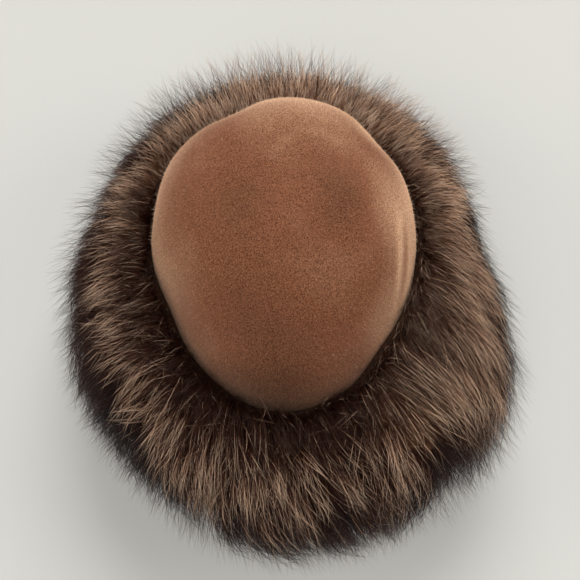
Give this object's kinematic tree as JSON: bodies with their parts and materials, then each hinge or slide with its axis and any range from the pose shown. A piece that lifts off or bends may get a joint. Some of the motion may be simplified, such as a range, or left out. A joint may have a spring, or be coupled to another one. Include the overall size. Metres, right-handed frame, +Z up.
{
  "type": "fur-cuffed felt hat",
  "caption": "Soft winter hat: a hollow velour felt crown, egg-shaped in plan and softly dented, with a deep long-haired fur cuff sewn round its lower half.",
  "frame": {"origin": "the middle of the hat's footprint, on the table that it rests on", "axes": "+Z up through the crown, +Y towards the back of the hat, -Y towards its front, +X to the right as seen from the front of the picture"},
  "size_m": [0.3072, 0.3482, 0.1486],
  "materials": {
    "velour_felt": "short raised nap, matt with a soft sheen at grazing angles",
    "long_hair_fur": "long glossy guard hair over dense underfur, dark at the root, tan-banded, dark-tipped"
  },
  "bodies": {
    "root": {"felt_crown": "velour_felt", "fur_cuff": "long_hair_fur"}
  },
  "joints": []
}
